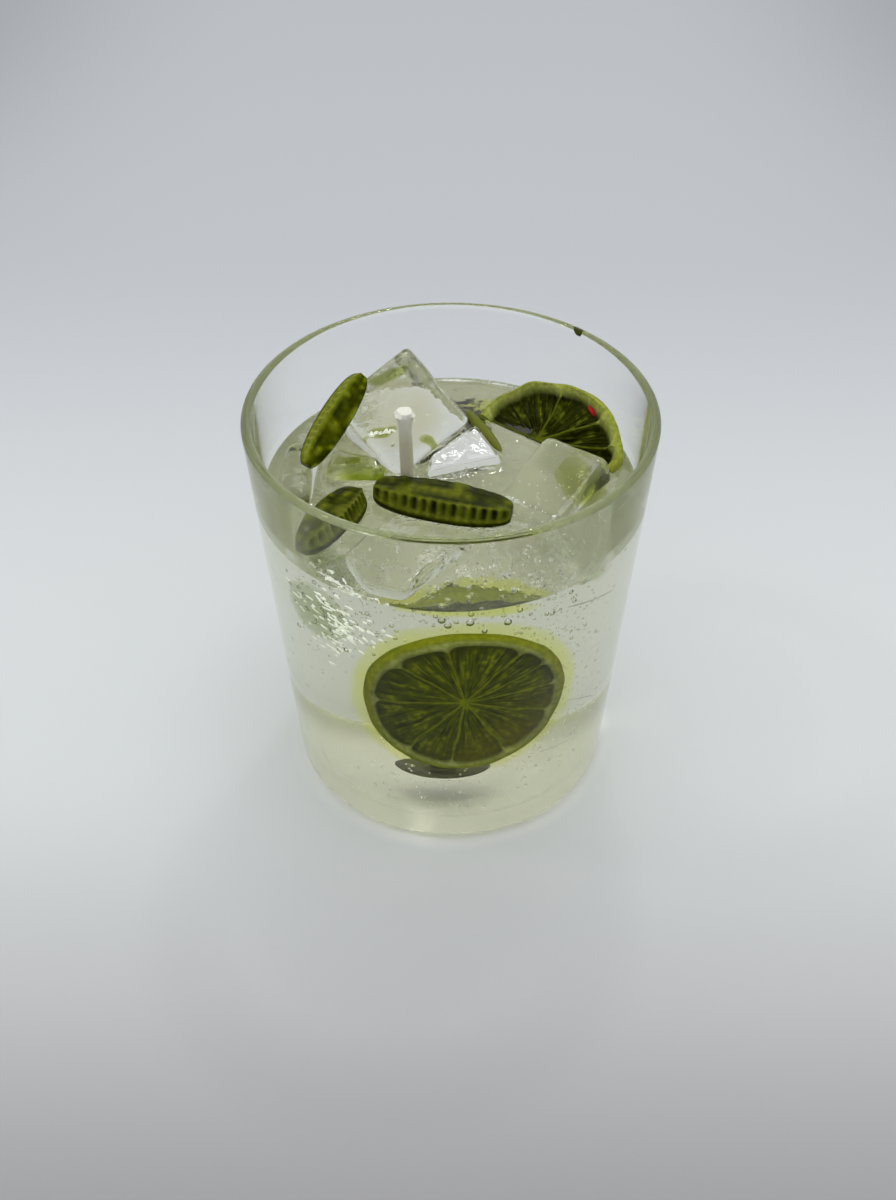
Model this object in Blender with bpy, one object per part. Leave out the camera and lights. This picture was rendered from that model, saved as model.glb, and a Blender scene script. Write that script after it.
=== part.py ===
"""A gel candle that imitates an iced lime drink, in the clear tumbler that it was cast in.

The glass stands on the XY plane with its axis on Z. Lengths are written in millimetres and
turned into metres by mm(). The pieces that lie in the gel keep a thin gap to it and to each
other, and the gel is cut round them.
"""

import math

import bmesh
import bpy
from mathutils import Matrix, Vector

MM = 0.001

# Edges that turn by more than this are drawn sharp
SMOOTH_ANGLE = math.radians(35.0)

# Tumbler, turned round Z
GLASS_HEIGHT = 90.3
CONE_FOOT_RADIUS = 34.94
CONE_SLOPE = 0.0782
FOOT_CORNER_RADIUS = 3.2
RIM_THICKNESS = 2.0
WALL_THICKNESS = 1.8
WALL_START_HEIGHT = 12.0
FLOOR_THICKNESS = 5.8
FLOOR_CORNER_RADIUS = 5.0
ROUND_STEPS = 72

# Gel
GEL_LEVEL = 71.2
MENISCUS_RISE = 0.6
MENISCUS_WIDTH = 2.2

# Between any two pieces
GAP = 0.3

# Cube at the back, standing on a corner: its highest corner and the directions of its edges
BACK_CUBE_TOP = (-9.0, 25.0, 89.7)
BACK_CUBE_RIGHT = (0.643, -0.542, -0.542)
BACK_CUBE_LEFT = (-0.753, -0.569, -0.325)
BACK_CUBE_SIDE = 20.6
BACK_CUBE_DEPTH = 18.0
BACK_CUBE_SOFTNESS = 1.1

# Cube at the right: the far corner of its top face and the directions of that face
RIGHT_CUBE_CORNER = (20.0, 10.0, 78.0)
RIGHT_CUBE_ALONG = (0.8, -0.6, 0.0)
RIGHT_CUBE_DOWN = (-0.565, -0.753, -0.335)
RIGHT_CUBE_SIZE = (16.0, 19.0, 14.0)
RIGHT_CUBE_SOFTNESS = 1.8

# Smaller blocks: the corners of the top face, the way down from it, the softness of the edges
SMALL_BLOCKS = {
    "ice_small": (
        ((-5.2, 2.4, 73.2), (10.6, 7.4, 73.8), (5.4, 16.0, 76.2), (-4.4, 6.9, 74.8)),
        (1.0, -1.2, -8.0), 0.8,
    ),
    "ice_wick": (
        ((-12.8, 0.9, 73.6), (-14.2, 4.6, 76.2), (-24.6, 8.8, 75.6), (-26.4, 1.6, 74.2)),
        (-0.5, -0.6, -10.0), 1.8,
    ),
    "ice_left": (
        ((-29.0, -7.6, 74.2), (-28.2, 8.6, 77.4), (-34.4, 9.0, 76.6), (-36.6, -6.6, 74.0)),
        (0.8, 0.0, -12.0), 2.2,
    ),
    "ice_front": (
        ((2.8, -24.0, 73.4), (-15.4, -19.6, 74.2), (-21.0, -26.0, 74.0),
         (-16.0, -33.6, 73.2), (-8.6, -36.0, 73.0)),
        (0.0, 0.6, -12.0), 1.4,
    ),
}

# Lime wheels: the rind stands over the flesh by the dish, and each lobe dips between its ribs.
# The rings of the flesh are shares of its radius.
FLESH_RINGS = (0.13, 0.25, 0.55, 0.82)
LOBE_START = 3.0
LOBE_FADE_FROM = 2.6
LOBE_FADE = 3.0

# Half a wheel at the back right, whose cut edge is sunk in the gel
BACK_SLICE = {"radius": 15.2, "thick": 4.4, "rind": 2.8, "dish": 1.1, "lobes": 9, "depth": 1.9}
BACK_SLICE_CENTRE = (19.4, 16.4, 68.9)
BACK_SLICE_STRETCH = 1.28
BACK_SLICE_LIFT = math.radians(25.0)

# A whole wheel sunk upright behind the front wall, and how far its pocket reaches out to the wall
WHEEL = {"radius": 19.6, "thick": 4.2, "rind": 2.2, "dish": 0.6, "lobes": 10, "depth": 0.8}
WHEEL_CENTRE = (2.2, -26.2, 41.3)
WHEEL_YAW = math.radians(6.0)
WHEEL_POCKET_OUT = (0.0, -16.0, 0.0)

# Curled pieces of lime: length, width and thickness, then the centre, then roll, pitch and yaw
WEDGE_CELLS = 14
WEDGE_TIP = 0.985
CELL_DEPTH = 0.9
WEDGES = {
    "lime_front": ((29.2, 10.6, 5.4), (-1.6, -7.2, 72.9), (6, 2, -14)),
    "lime_front_left": ((22.0, 9.2, 5.2), (-24.3, -13.4, 72.8), (4, 2, 62)),
    "lime_left": ((23.0, 6.4, 4.2), (-24.0, 7.4, 82.5), (-38, 29, -124)),
}

# Wick, and its flared tip as shares of the radius at lengths below the top
WICK_RADIUS = 1.45
WICK_FOOT = (-8.7, 2.1, 58.0)
WICK_TOP = (-9.4, 2.1, 88.4)
WICK_TIP = ((1.02, 3.4), (1.3, 1.8), (1.55, 0.7), (1.25, 0.0))
WICK_STEPS = 14


def mm(*values):
    """A vector in metres from lengths in millimetres."""
    return Vector(values) * MM


def wall_inside(height):
    """Radius of the glass's inner wall at a height, both in millimetres."""
    foot = CONE_FOOT_RADIUS + CONE_SLOPE * WALL_START_HEIGHT - WALL_THICKNESS
    rim = CONE_FOOT_RADIUS + CONE_SLOPE * GLASS_HEIGHT - RIM_THICKNESS
    rim_height = GLASS_HEIGHT - RIM_THICKNESS / 2
    return foot + (rim - foot) * (height - WALL_START_HEIGHT) / (rim_height - WALL_START_HEIGHT)


def clear_scene():
    for old in list(bpy.data.objects):
        bpy.data.objects.remove(old)


def material(name, colour, roughness, transmission=0.0, ior=1.46):
    made = bpy.data.materials.new(name)
    made.use_nodes = True
    shader = made.node_tree.nodes["Principled BSDF"]
    shader.inputs["Base Color"].default_value = (*colour, 1.0)
    shader.inputs["Roughness"].default_value = roughness
    shader.inputs["Metallic"].default_value = 0.0
    shader.inputs["Transmission Weight"].default_value = transmission
    shader.inputs["IOR"].default_value = ior
    return made


def finish(name, bm, surface):
    """Turns a bmesh into a named object with its material and shading."""
    bmesh.ops.remove_doubles(bm, verts=bm.verts, dist=1e-6)
    bmesh.ops.recalc_face_normals(bm, faces=bm.faces)
    mesh = bpy.data.meshes.new(name)
    bm.to_mesh(mesh)
    bm.free()
    mesh.materials.append(surface)
    mesh.shade_smooth()
    mesh.set_sharp_from_angle(angle=SMOOTH_ANGLE)
    made = bpy.data.objects.new(name, mesh)
    bpy.context.scene.collection.objects.link(made)
    return made


def arc(centre, radius, start, end, steps):
    """Points of a circular arc in a profile, with its angles in degrees."""
    angles = [math.radians(start + (end - start) * i / steps) for i in range(steps + 1)]
    return [(centre[0] + radius * math.cos(a), centre[1] + radius * math.sin(a)) for a in angles]


def turned(profile, steps=ROUND_STEPS):
    """A closed body turned from a profile that starts and ends on the axis."""
    bm = bmesh.new()
    verts = [bm.verts.new(mm(r, 0, z)) for r, z in profile]
    edges = [bm.edges.new(pair) for pair in zip(verts, verts[1:])]
    bmesh.ops.spin(
        bm, geom=verts + edges, cent=(0, 0, 0), axis=(0, 0, 1),
        angle=math.tau, steps=steps, use_merge=True,
    )
    bmesh.ops.remove_doubles(bm, verts=bm.verts, dist=1e-6)
    bmesh.ops.dissolve_degenerate(bm, edges=bm.edges, dist=1e-7)
    return bm


def make_glass(surface):
    """Thick floor, rounded foot, a wall that widens upward and a rim with a round bead."""
    lean = math.degrees(math.atan(CONE_SLOPE))
    slant = math.hypot(1.0, CONE_SLOPE)
    corner = FOOT_CORNER_RADIUS
    corner_x = CONE_FOOT_RADIUS + CONE_SLOPE * corner - corner * slant
    rim = RIM_THICKNESS / 2
    rim_x = CONE_FOOT_RADIUS + CONE_SLOPE * GLASS_HEIGHT - rim
    inner = FLOOR_CORNER_RADIUS
    inner_z = FLOOR_THICKNESS + inner
    inner_x = wall_inside(inner_z) - inner * slant
    profile = [(0.0, 0.0)]
    profile += arc((corner_x, corner), corner, -90, -lean, 5)
    profile += arc((rim_x, GLASS_HEIGHT - rim), rim, -lean, 180 - lean, 8)
    profile += arc((inner_x, inner_z), inner, -lean, -90, 6)
    profile += [(0.0, FLOOR_THICKNESS)]
    return finish("glass", turned(profile), surface)


def make_gel(surface):
    """The gel fills the glass up to its level and climbs a little at the wall."""
    slant = math.hypot(1.0, CONE_SLOPE)
    corner = FLOOR_CORNER_RADIUS - GAP
    floor = FLOOR_THICKNESS + GAP
    corner_z = floor + corner
    corner_x = wall_inside(corner_z) - GAP - corner * slant
    lean = math.degrees(math.atan(CONE_SLOPE))
    edge = GEL_LEVEL + MENISCUS_RISE
    wall = wall_inside(edge) - GAP
    profile = [(0.0, floor)]
    profile += arc((corner_x, corner_z), corner, -90, -lean, 4)
    profile += [(wall, edge)]
    profile += [(wall - MENISCUS_WIDTH * part, GEL_LEVEL + MENISCUS_RISE * (1 - part) ** 2)
                for part in (0.35, 0.7, 1.0)]
    profile += [(0.0, GEL_LEVEL)]
    return finish("gel", turned(profile), surface)


def make_cube(name, face, depth, softness, surface):
    """A cast gel block: one face from its corners, pulled to a depth, with softened edges."""
    bm = bmesh.new()
    top = bm.faces.new([bm.verts.new(mm(*point)) for point in face])
    pulled = bmesh.ops.extrude_face_region(bm, geom=[top])
    moved = [part for part in pulled["geom"] if isinstance(part, bmesh.types.BMVert)]
    bmesh.ops.translate(bm, verts=moved, vec=mm(*depth))
    bmesh.ops.recalc_face_normals(bm, faces=bm.faces)
    bmesh.ops.bevel(
        bm, geom=bm.edges[:], offset=softness * MM, offset_type="OFFSET", segments=3,
        profile=0.5, affect="EDGES", clamp_overlap=True, material=-1,
    )
    return finish(name, bm, surface)


def make_back_cube(surface):
    top = Vector(BACK_CUBE_TOP)
    right = Vector(BACK_CUBE_RIGHT).normalized() * BACK_CUBE_SIDE
    left = Vector(BACK_CUBE_LEFT).normalized() * BACK_CUBE_SIDE
    inward = left.cross(right).normalized() * BACK_CUBE_DEPTH
    if inward.z > 0:
        inward.negate()
    face = (top, top + right, top + right + left, top + left)
    return make_cube("ice_back", face, inward, BACK_CUBE_SOFTNESS, surface)


def make_right_cube(surface):
    corner = Vector(RIGHT_CUBE_CORNER)
    width, length, depth = RIGHT_CUBE_SIZE
    along = Vector(RIGHT_CUBE_ALONG).normalized() * width
    down = Vector(RIGHT_CUBE_DOWN).normalized() * length
    below = along.cross(down).normalized() * depth
    face = (corner, corner + along, corner + along + down, corner + down)
    return make_cube("ice_right", face, below, RIGHT_CUBE_SOFTNESS, surface)


def squeeze_into_glass(bm):
    """A soft slice that reaches the wall is pressed in by it."""
    for vert in bm.verts:
        reach = math.hypot(vert.co.x, vert.co.y)
        limit = (wall_inside(vert.co.z / MM) - 2 * GAP) * MM
        if reach > limit:
            vert.co.x *= limit / reach
            vert.co.y *= limit / reach


def lime_wheel(radius, thick, rind, dish, lobes, depth):
    """A wheel of lime lying on the XY plane, with a raised rind and lobes sunk between ribs."""
    pith = radius - rind
    flesh = thick - dish
    profile = [(0.0, flesh)]
    profile += [(ring * pith, flesh) for ring in FLESH_RINGS]
    profile += [(pith - 1.0, flesh), (pith, flesh + 0.2), (pith + 0.4 * rind, thick)]
    profile += [(radius - 0.5, thick - 0.2), (radius, thick - 1.2)]
    profile += [(radius - 0.4, 0.7), (radius - 1.3, 0.0), (0.0, 0.0)]
    bm = turned(profile)
    for vert in bm.verts:
        out = math.hypot(vert.co.x, vert.co.y) / MM
        if vert.co.z < (flesh - 0.05) * MM or not LOBE_START < out < pith - 0.5:
            continue
        turn = math.atan2(vert.co.y, vert.co.x) / math.tau * lobes
        across = abs((turn % 1.0) - 0.5) * 2
        fullness = max(0.0, 1.0 - across**4)
        ends = min(1.0, (out - LOBE_FADE_FROM) / LOBE_FADE)
        vert.co.z -= depth * fullness * ends * MM
    return bm


def make_front_wheel(surface):
    """The whole wheel stands on edge near the front wall, with its top leaning back from it."""
    bm = lime_wheel(**WHEEL)
    upright = Matrix.Rotation(math.radians(90.0) - math.atan(CONE_SLOPE), 4, "X")
    place = Matrix.Translation(mm(*WHEEL_CENTRE)) @ Matrix.Rotation(WHEEL_YAW, 4, "Z") @ upright
    bmesh.ops.transform(bm, matrix=place, verts=bm.verts)
    squeeze_into_glass(bm)
    return finish("lime_wheel", bm, surface)


def make_back_slice(surface):
    """Half a lime wheel at the back right, tilted so that only its round side stands out."""
    bm = lime_wheel(**BACK_SLICE)
    cut = bmesh.ops.bisect_plane(
        bm, geom=bm.verts[:] + bm.edges[:] + bm.faces[:],
        plane_co=(0, 0, 0), plane_no=(0, -1, 0), clear_outer=True,
    )
    rim = [edge for edge in cut["geom_cut"] if isinstance(edge, bmesh.types.BMEdge)]
    bmesh.ops.holes_fill(bm, edges=rim, sides=0)
    for vert in bm.verts:
        vert.co.x *= BACK_SLICE_STRETCH if vert.co.x > 0 else 1.0
    place = Matrix.Translation(mm(*BACK_SLICE_CENTRE))
    heading = math.atan2(RIGHT_CUBE_ALONG[1], RIGHT_CUBE_ALONG[0])
    place @= Matrix.Rotation(heading, 4, "Z") @ Matrix.Rotation(BACK_SLICE_LIFT, 4, "X")
    bmesh.ops.transform(bm, matrix=place, verts=bm.verts)
    squeeze_into_glass(bm)
    return finish("lime_back", bm, surface)


def wedge_section(length, width, thick, along, sink):
    """One cross-section of a lime wedge: flesh on top, a row of cells, then the rind band."""
    full = (1 - along * along) ** 0.32
    reach, tall = width * full, thick * (0.45 + 0.55 * full)
    inset = sink * full
    outline = (
        (0.36 * reach, -0.46 * tall),
        (0.47 * reach, -0.10 * tall),
        (0.44 * reach, 0.30 * tall),
        (0.05 * reach, 0.38 * tall),
        (-0.30 * reach, 0.50 * tall),
        (-0.37 * reach + inset, 0.44 * tall - 0.3 * inset),
        (-0.47 * reach + inset, 0.10 * tall - 0.3 * inset),
        (-0.51 * reach, 0.00),
        (-0.53 * reach, -0.22 * tall),
        (-0.38 * reach, -0.50 * tall),
    )
    return [mm(along * length / 2, y, z) for y, z in outline]


def make_wedge(name, size, centre, turns, surface):
    """A curled piece of lime slice, lofted through cross-sections that rise at each rib."""
    stations = 2 * WEDGE_CELLS
    bm = bmesh.new()
    loops = []
    for i in range(stations + 1):
        along = WEDGE_TIP * (2 * i / stations - 1)
        points = wedge_section(*size, along, CELL_DEPTH if i % 2 else 0.0)
        verts = [bm.verts.new(point) for point in points]
        loops.append([bm.edges.new((verts[k - 1], verts[k])) for k in range(len(verts))])
    for near, far in zip(loops, loops[1:]):
        bmesh.ops.bridge_loops(bm, edges=near + far)
    bmesh.ops.holes_fill(bm, edges=loops[0] + loops[-1], sides=0)
    roll, pitch, yaw = (math.radians(turn) for turn in turns)
    spin = Matrix.Rotation(yaw, 4, "Z") @ Matrix.Rotation(pitch, 4, "Y") @ Matrix.Rotation(roll, 4, "X")
    bmesh.ops.transform(bm, matrix=Matrix.Translation(mm(*centre)) @ spin, verts=bm.verts)
    squeeze_into_glass(bm)
    return finish(name, bm, surface)


def make_wick(surface):
    """A waxed cotton wick that stands out of the gel and flares at its tip."""
    foot, top = Vector(WICK_FOOT), Vector(WICK_TOP)
    tall = (top - foot).length
    profile = [(0.0, 0.0), (WICK_RADIUS, 0.0), (WICK_RADIUS, tall * 0.45), (WICK_RADIUS * 0.94, tall * 0.8)]
    profile += [(WICK_RADIUS * share, tall - below) for share, below in WICK_TIP]
    profile += [(0.0, tall - 0.3)]
    bm = turned(profile, WICK_STEPS)
    lean = (top - foot).to_track_quat("Z", "Y").to_matrix().to_4x4()
    bmesh.ops.transform(bm, matrix=Matrix.Translation(mm(*foot)) @ lean, verts=bm.verts)
    return finish("wick", bm, surface)


def cut_pocket(body, piece, out=(0.0, 0.0, 0.0)):
    """Cuts the room that a piece takes, with the gap all round it, out of a body.

    The pocket can reach out in one direction, so that it opens at the body's side.
    """
    bm = bmesh.new()
    for vert in piece.data.vertices:
        bm.verts.new(vert.co)
        if any(out):
            bm.verts.new(vert.co + mm(*out))
    hull = bmesh.ops.convex_hull(bm, input=bm.verts)
    inside = [part for part in hull["geom_interior"] if isinstance(part, bmesh.types.BMVert)]
    bmesh.ops.delete(bm, geom=inside, context="VERTS")
    bmesh.ops.recalc_face_normals(bm, faces=bm.faces)
    bm.normal_update()
    moves = [vert.normal * vert.calc_shell_factor() * GAP * MM for vert in bm.verts]
    for vert, move in zip(bm.verts, moves):
        vert.co += move
    cutter = finish(f"cutter_{body.name}_{piece.name}", bm, piece.data.materials[0])
    cutter.hide_render = True
    cutter.display_type = "WIRE"
    cut = body.modifiers.new(f"pocket for {piece.name}", "BOOLEAN")
    cut.operation = "DIFFERENCE"
    cut.solver = "EXACT"
    cut.object = cutter


def main():
    clear_scene()
    glass = material("clear glass", (0.93, 0.95, 0.90), 0.02, transmission=1.0, ior=1.5)
    gel = material("clear candle gel", (0.88, 0.89, 0.74), 0.05, transmission=1.0)
    ice = material("cast gel cube", (0.92, 0.93, 0.84), 0.06, transmission=1.0)
    lime = material("moulded lime wax", (0.10, 0.12, 0.02), 0.35)
    wax = material("waxed cotton", (0.62, 0.60, 0.50), 0.6)

    make_glass(glass)
    body = make_gel(gel)
    pieces = [make_back_cube(ice), make_right_cube(ice)]
    for name, (face, depth, softness) in SMALL_BLOCKS.items():
        pieces.append(make_cube(name, face, depth, softness, ice))
    pieces.append(make_back_slice(lime))
    for name, (size, centre, turns) in WEDGES.items():
        pieces.append(make_wedge(name, size, centre, turns, lime))
    pieces.append(make_wick(wax))

    gel_top = (GEL_LEVEL + MENISCUS_RISE) * MM
    for piece in pieces:
        if min(vert.co.z for vert in piece.data.vertices) < gel_top:
            cut_pocket(body, piece)
    cut_pocket(body, make_front_wheel(lime), WHEEL_POCKET_OUT)


main()
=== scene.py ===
# %% [markdown]
# # A gel candle that imitates an iced lime drink
# A short clear tumbler is filled with clear mineral-oil gel. Cast gel cubes stand out of it like
# ice, slices of moulded wax lime lie in it, and a waxed wick stands between them. The CAD solids
# give every place and size; this script gives them their true surfaces. It works in metres, with
# Z up and the tumbler's axis on Z.

# %% Set up
import math
import random

import bmesh
import bpy
import numpy as np
from mathutils import Matrix, Vector, noise


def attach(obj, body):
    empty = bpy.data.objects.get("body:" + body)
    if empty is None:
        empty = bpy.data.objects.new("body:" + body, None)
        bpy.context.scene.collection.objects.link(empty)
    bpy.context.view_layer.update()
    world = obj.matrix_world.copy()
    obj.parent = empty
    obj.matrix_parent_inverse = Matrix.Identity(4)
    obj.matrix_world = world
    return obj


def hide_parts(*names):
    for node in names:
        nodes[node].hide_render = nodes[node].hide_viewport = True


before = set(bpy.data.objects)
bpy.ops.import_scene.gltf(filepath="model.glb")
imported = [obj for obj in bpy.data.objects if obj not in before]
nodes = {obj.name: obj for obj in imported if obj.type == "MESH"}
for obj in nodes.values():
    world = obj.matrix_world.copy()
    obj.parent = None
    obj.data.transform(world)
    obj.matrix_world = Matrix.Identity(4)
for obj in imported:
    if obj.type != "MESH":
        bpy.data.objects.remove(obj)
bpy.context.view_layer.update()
MM = 0.001
WHITE = (1, 1, 1, 1)
# Every source of chance is seeded, so that each run makes the same pieces
SEED = 11
rng = random.Random(SEED)
noise.seed_set(SEED)

# %% [markdown]
# ## Small helpers
# Every solid starts as a bmesh and ends as an object at the origin, with its place in its
# vertices. A turned shape is a profile spun round Z, which is how the real tumbler is pressed and
# the candle is cast in it.

# %% Mesh helpers
# Ellipsoids made at a time, and the size in millimetres of the lumps that noise gives them
BATCH, LUMP_SIZE = 40, 4.0


def finished(name, bm, material, sharp=40.0):
    """Makes an object of a bmesh, smooth but for edges that turn by more than the angle."""
    bmesh.ops.recalc_face_normals(bm, faces=bm.faces)
    mesh = bpy.data.meshes.new(name)
    bm.to_mesh(mesh)
    bm.free()
    mesh.materials.append(material)
    mesh.shade_smooth()
    mesh.set_sharp_from_angle(angle=math.radians(sharp))
    made = bpy.data.objects.new(name, mesh)
    bpy.context.scene.collection.objects.link(made)
    return made


def arc(centre, radius, start, end, steps):
    """Points of a circular arc in a profile, with its angles in degrees."""
    angles = [math.radians(start + (end - start) * i / steps) for i in range(steps + 1)]
    x, z = centre
    return [(x + radius * math.cos(a), z + radius * math.sin(a)) for a in angles]


def turned(profile, steps=192):
    """A closed bmesh turned round Z from a profile in millimetres with both ends on the axis."""
    bm = bmesh.new()
    verts = [bm.verts.new((r * MM, 0, z * MM)) for r, z in profile]
    edges = [bm.edges.new(pair) for pair in zip(verts, verts[1:])]
    bmesh.ops.spin(
        bm, geom=verts + edges, cent=(0, 0, 0), axis=(0, 0, 1),
        angle=math.tau, steps=steps, use_merge=True,
    )
    bmesh.ops.remove_doubles(bm, verts=bm.verts, dist=1e-7)
    return bm


def part(obj, slot, *replaced):
    """Hangs a finished piece on the candle, so that it rides with it, and hides the CAD nodes
    named.
    """
    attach(obj, "root")
    if replaced:
        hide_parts(*replaced)
    print(f"{obj.name}: {len(obj.data.polygons)} faces, for {', '.join(replaced) or 'no CAD node'}")


def apply_modifiers(obj):
    """Puts the result of an object's modifiers into its mesh."""
    graph = bpy.context.evaluated_depsgraph_get()
    mesh = bpy.data.meshes.new_from_object(obj.evaluated_get(graph))
    obj.modifiers.clear()
    obj.data = mesh


def placed(centre, turns):
    """A matrix that turns by degrees about X, Y and Z, then moves to a centre in millimetres."""
    roll, pitch, yaw = (math.radians(turn) for turn in turns)
    turn = Matrix.Rotation(yaw, 4, "Z") @ Matrix.Rotation(pitch, 4, "Y")
    return Matrix.Translation(Vector(centre) * MM) @ (turn @ Matrix.Rotation(roll, 4, "X"))


def ellipsoids(name, shapes, material, subdivisions=4, lumpy=0.0):
    """One mesh of ellipsoids, given by centre, radii and turns; noise can make them lumpy."""
    whole = bmesh.new()
    for start in range(0, len(shapes), BATCH):
        bm = bmesh.new()
        for centre, radii, turns in shapes[start:start + BATCH]:
            place = placed(centre, turns) @ Matrix.Diagonal((*radii, 1.0))
            bmesh.ops.create_icosphere(bm, subdivisions=subdivisions, radius=MM, matrix=place)
        batch = bpy.data.meshes.new("batch")
        bm.to_mesh(batch)
        bm.free()
        whole.from_mesh(batch)
        bpy.data.meshes.remove(batch)
    for vert in whole.verts:
        vert.co += noise.noise_vector(vert.co / (LUMP_SIZE * MM)) * lumpy * MM
    return finished(name, whole, material, sharp=180)


# %% [markdown]
# ## Shader nodes as arithmetic
# A small class wraps a socket, so that a material reads as a formula. Only colours, roughness,
# bumps and the share between two shaders vary over a surface; what is the same all over is set
# straight on the shader's own socket.

# %% Node helper
class Value:
    """One output of a shader node that can be added, multiplied and mixed."""

    def __init__(self, tree, socket=None):
        self.tree, self.socket = tree, socket

    def node(self, kind, inputs=None, output=0, **settings):
        made = self.tree.nodes.new(kind)
        for name, value in settings.items():
            setattr(made, name, value)
        for key, value in (inputs or {}).items():
            if isinstance(value, Value):
                self.tree.links.new(value.socket, made.inputs[key])
            else:
                made.inputs[key].default_value = value
        return Value(self.tree, made.outputs[output])

    def math(self, operation, *values):
        return self.node("ShaderNodeMath", dict(enumerate(values)), operation=operation)

    def __add__(self, other):
        return self.math("ADD", self, other)

    def __sub__(self, other):
        return self.math("SUBTRACT", self, other)

    def __rsub__(self, other):
        return self.math("SUBTRACT", other, self)

    def __mul__(self, other):
        return self.math("MULTIPLY", self, other)

    def __pow__(self, other):
        return self.math("POWER", self, other)

    __radd__ = __add__
    __rmul__ = __mul__

    def above(self, other):
        return self.math("GREATER_THAN", self, other)

    def below(self, other):
        return self.math("LESS_THAN", self, other)

    def between(self, low, high):
        """0 at low and 1 at high, with an easy start and end."""
        inputs = {0: self, 1: low, 2: high}
        return self.node("ShaderNodeMapRange", inputs, interpolation_type="SMOOTHSTEP")

    def mix(self, first, second):
        """The colour that lies this far from the first to the second."""
        inputs = {0: self, 6: first, 7: second}
        return self.node("ShaderNodeMix", inputs, output=2, data_type="RGBA")

    def place(self):
        """Object coordinates, as one vector."""
        return self.node("ShaderNodeTexCoord", output=3)

    def xyz(self):
        """The three parts of a vector."""
        return [self.node("ShaderNodeSeparateXYZ", {0: self}, output=i) for i in range(3)]

    def noise(self, vector, scale, detail=3.0):
        inputs = {"Vector": vector, "Scale": scale, "Detail": detail}
        return self.node("ShaderNodeTexNoise", inputs)

    def bump(self, height, strength, distance):
        """A normal that shows heights without moving the surface."""
        inputs = {"Height": height, "Strength": strength, "Distance": distance}
        return self.node("ShaderNodeBump", inputs)


def srgb(*channels):
    """A linear colour from its sRGB values of 0 to 255."""
    linear = [
        ((c / 255 + 0.055) / 1.055) ** 2.4 if c > 10 else c / 255 / 12.92 for c in channels
    ]
    return (*linear, 1.0)


def new_material(name, **settings):
    """A Principled material with constant settings; returns it, its shader and its Value."""
    made = bpy.data.materials.new(name)
    made.use_nodes = True
    shader = made.node_tree.nodes["Principled BSDF"]
    for key, value in settings.items():
        shader.inputs[key.replace("_", " ")].default_value = value
    return made, shader, Value(made.node_tree)


def feed(node, socket, value):
    """Links a value to a socket of a node."""
    value.tree.links.new(value.socket, node.inputs[socket])


def absorb(value, colour, density):
    """Makes what a material encloses absorb light."""
    volume = value.node("ShaderNodeVolumeAbsorption", {"Color": (*colour, 1.0), "Density": density})
    feed(value.tree.nodes["Material Output"], "Volume", volume)


def bare_material(name, surface, inputs):
    """A material with another surface shader than the Principled one, and its Value."""
    made, shader, value = new_material(name)
    value.tree.nodes.remove(shader)
    feed(value.tree.nodes["Material Output"], "Surface", value.node(surface, inputs))
    return made, value


# %% [markdown]
# ## Clear materials
# Light has to meet each boundary once: air and glass outside, glass and gel at the wall, gel and
# air at the top. The gel's sides lie a little inside the wall, where they are simply transparent,
# and the glass there bends light only by the ratio of the two indices. Without this each wall
# would mirror the room twice more and grey out what lies inside. Both drink some light on the
# way: the glass turns olive where one looks along it, and dye has tinted the gel. The gel's free
# faces are a little dented, which a bump shows well enough.

# %% Glass and gel
# Sizes of the tumbler in millimetres: its wall is WALL thick at WALL_START, RIM at the top
HEIGHT, FOOT_RADIUS, SLOPE = 90.3, 34.94, 0.0782
WALL, RIM, FLOOR = 1.8, 2.0, 5.8
FOOT_CORNER, FLOOR_CORNER = 3.2, 5.0
WALL_START = 12.0
LEAN = math.degrees(math.atan(SLOPE))
SLANT = math.hypot(1.0, SLOPE)
# The gel's level, how much it tilts, and how far it climbs at the wall and reaches into it
LEVEL, LEVEL_TILT, MENISCUS = 71.2, 0.0155, 0.6
INTO_WALL = 0.1
GLASS_INDEX, GEL_INDEX = 1.5, 1.46
# The colour of each clear body and how strongly it absorbs the rest
GLASS_TINT, GEL_TINT = ((0.62, 0.67, 0.40), 13.0), ((0.62, 0.635, 0.37), 10.0)
# The glass is matt up to the first height, and can touch the gel from the second
MATT_FOOT, FLOOR_MIDDLE = 0.3, 3.0
# Deeper than this below the level, the gel has only its sides and its bottom
TOP_DEPTH = 3.0


def wall_inside(height):
    """Radius of the inner wall at a height, both in millimetres."""
    foot = FOOT_RADIUS + SLOPE * WALL_START - WALL
    rim = FOOT_RADIUS + SLOPE * HEIGHT - RIM
    return foot + (rim - foot) * (height - WALL_START) / (HEIGHT - RIM / 2 - WALL_START)


def past_wall(value):
    """How far outside the inner wall a point lies, and its y and z, in metres."""
    x, y, z = value.place().xyz()
    slope = wall_inside(1.0) - wall_inside(0.0)
    return (x * x + y * y) ** 0.5 - (z * slope + wall_inside(0.0) * MM), y, z


def clear_material(name, index, tint, density):
    made, shader, value = new_material(
        name, Base_Color=WHITE, Roughness=0.0, IOR=index, Transmission_Weight=1.0,
    )
    absorb(value, tint, density)
    return made, shader, value


def share(shader, factor, other):
    """Puts a second shader in the place of a material's first where the factor is 1."""
    mixed = factor.node("ShaderNodeMixShader", {0: factor, 2: other})
    factor.tree.links.new(shader.outputs[0], mixed.socket.node.inputs[1])
    feed(factor.tree.nodes["Material Output"], "Surface", mixed)


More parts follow.
